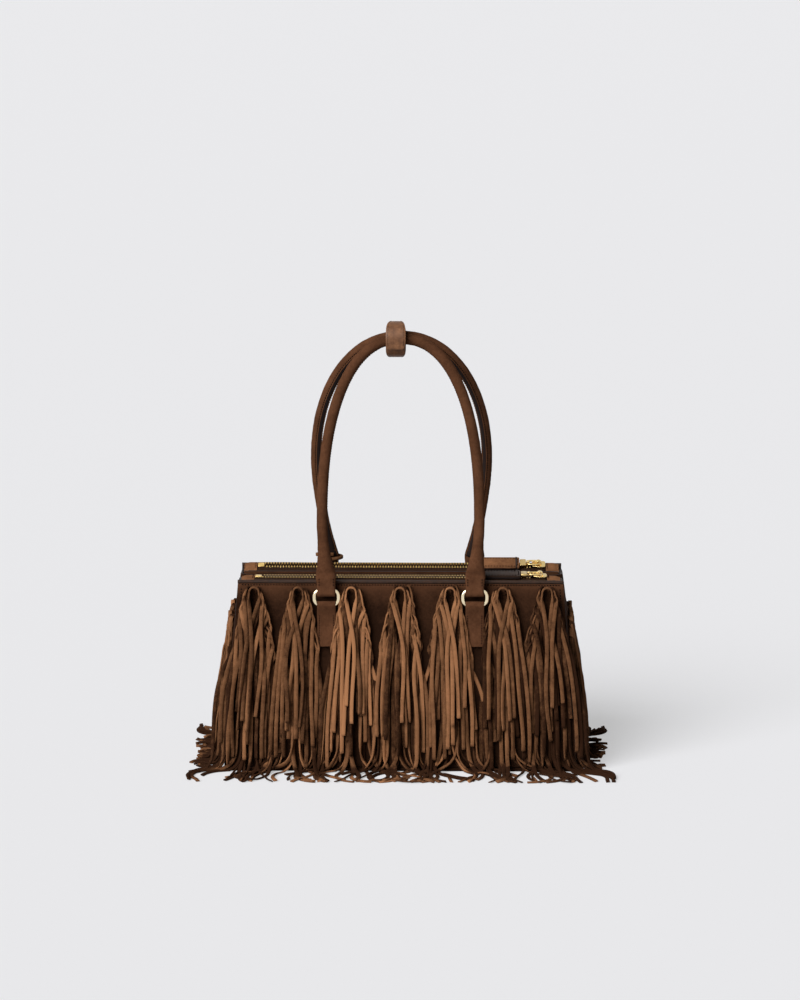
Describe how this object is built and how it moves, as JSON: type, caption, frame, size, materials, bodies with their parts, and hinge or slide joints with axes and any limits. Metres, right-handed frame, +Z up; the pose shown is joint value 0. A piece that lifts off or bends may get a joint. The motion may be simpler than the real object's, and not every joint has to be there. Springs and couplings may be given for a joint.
{
  "type": "fringed suede handbag",
  "caption": "Soft suede handbag with zipped pockets in front and behind, an open middle, rolled handles on rings under a keeper strap, and a fringe of looped strips down to the floor.",
  "frame": {"origin": "middle of the base, on the surface that the bag stands on", "axes": "+Z up, +X to the right of the front view along the zips, -Y out of the front panel"},
  "size_m": [0.3526, 0.1754, 0.3841],
  "materials": {
    "suede": "brown suede with a soft nap",
    "fringe_suede": "lighter brown suede strips",
    "edge_leather": "smooth dark edge leather, satin",
    "zip_tape": "woven dark brown tape",
    "zip_brass": "polished yellow brass",
    "ring_gold": "polished pale gold"
  },
  "bodies": {
    "bag": {"base_panel": "suede", "front_panel": "suede", "rear_panel": "suede", "left_gusset": "suede", "right_gusset": "suede", "front_divider": "suede", "rear_divider": "suede", "front_rim_binding": "edge_leather", "rear_rim_binding": "edge_leather", "front_zip_outer_tape": "zip_tape", "front_zip_inner_tape": "zip_tape", "front_zip_outer_teeth": "zip_brass", "front_zip_inner_teeth": "zip_brass", "front_zip_bottom_stop": "zip_brass", "front_zip_left_end_tab": "suede", "front_zip_right_end_tab": "suede", "rear_zip_outer_tape": "zip_tape", "rear_zip_inner_tape": "zip_tape", "rear_zip_outer_teeth": "zip_brass", "rear_zip_inner_teeth": "zip_brass", "rear_zip_bottom_stop": "zip_brass", "rear_zip_left_end_tab": "suede", "rear_zip_right_end_tab": "suede", "front_left_ring_tab": "suede", "front_right_ring_tab": "suede", "rear_left_ring_tab": "suede", "rear_right_ring_tab": "suede", "front_tassel_1": "fringe_suede", "front_tassel_2": "fringe_suede", "front_tassel_3": "fringe_suede", "front_tassel_4": "fringe_suede", "front_tassel_5": "fringe_suede", "front_tassel_6": "fringe_suede", "front_tassel_7": "fringe_suede", "rear_tassel_1": "fringe_suede", "rear_tassel_2": "fringe_suede", "rear_tassel_3": "fringe_suede", "rear_tassel_4": "fringe_suede", "rear_tassel_5": "fringe_suede", "rear_tassel_6": "fringe_suede", "rear_tassel_7": "fringe_suede", "left_side_fringe": "fringe_suede", "right_side_fringe": "fringe_suede"},
    "front_slide": {"front_slider": "zip_brass"},
    "front_link": {"front_pull_link": "zip_brass"},
    "front_pull": {"front_pull_clamp": "zip_brass", "front_pull_tab": "suede"},
    "rear_slide": {"rear_slider": "zip_brass"},
    "rear_link": {"rear_pull_link": "zip_brass"},
    "rear_pull": {"rear_pull_clamp": "zip_brass", "rear_pull_tab": "suede"},
    "front_rings": {"front_left_ring": "ring_gold", "front_right_ring": "ring_gold"},
    "rear_rings": {"rear_left_ring": "ring_gold", "rear_right_ring": "ring_gold"},
    "front_carry": {"front_handle": "suede", "keeper_strap": "suede", "keeper_snap": "zip_brass"},
    "rear_carry": {"rear_handle": "suede", "handle_tie": "suede"}
  },
  "joints": [
    {"name": "front_zip_slide", "type": "slide", "parent": "bag", "child": "front_slide", "axis": [1, 0, 0], "range_m": [-0.2325, 0]},
    {"name": "front_link_flip", "type": "hinge", "parent": "front_slide", "child": "front_link", "pos_m": [0.1197, -0.02415, 0.16693], "axis": [0, 0.9945, 0.1045], "range_deg": [0, 150]},
    {"name": "front_pull_flip", "type": "hinge", "parent": "front_link", "child": "front_pull", "pos_m": [0.1102, -0.02415, 0.16693], "axis": [0, 0.9945, 0.1045], "range_deg": [0, 45]},
    {"name": "rear_zip_slide", "type": "slide", "parent": "bag", "child": "rear_slide", "axis": [1, 0, 0], "range_m": [-0.2325, 0]},
    {"name": "rear_link_flip", "type": "hinge", "parent": "rear_slide", "child": "rear_link", "pos_m": [0.1197, 0.02231, 0.16667], "axis": [0, 0.9272, 0.3746], "range_deg": [0, 150]},
    {"name": "rear_pull_flip", "type": "hinge", "parent": "rear_link", "child": "rear_pull", "pos_m": [0.1102, 0.02231, 0.16667], "axis": [0, 0.9272, 0.3746], "range_deg": [0, 45]},
    {"name": "front_ring_swing", "type": "hinge", "parent": "bag", "child": "front_rings", "pos_m": [0, -0.046, 0.1436], "axis": [1, 0, 0], "range_deg": [-12, 12]},
    {"name": "front_handle_tilt", "type": "hinge", "parent": "front_rings", "child": "front_carry", "pos_m": [0, -0.046, 0.1564], "axis": [1, 0, 0], "range_deg": [-10.5, 10.5]},
    {"name": "rear_ring_swing", "type": "hinge", "parent": "bag", "child": "rear_rings", "pos_m": [0, 0.046, 0.1436], "axis": [1, 0, 0], "range_deg": [-12, 12]},
    {"name": "rear_handle_tilt", "type": "hinge", "parent": "rear_rings", "child": "rear_carry", "pos_m": [0, 0.046, 0.1564], "axis": [1, 0, 0], "range_deg": [-10.5, 10.5]}
  ],
  "couplings": [
    {"joint": "front_handle_tilt", "follows": "front_ring_swing", "ratio": -0.875},
    {"joint": "rear_ring_swing", "follows": "front_ring_swing", "ratio": 1},
    {"joint": "rear_handle_tilt", "follows": "front_ring_swing", "ratio": -0.875}
  ]
}
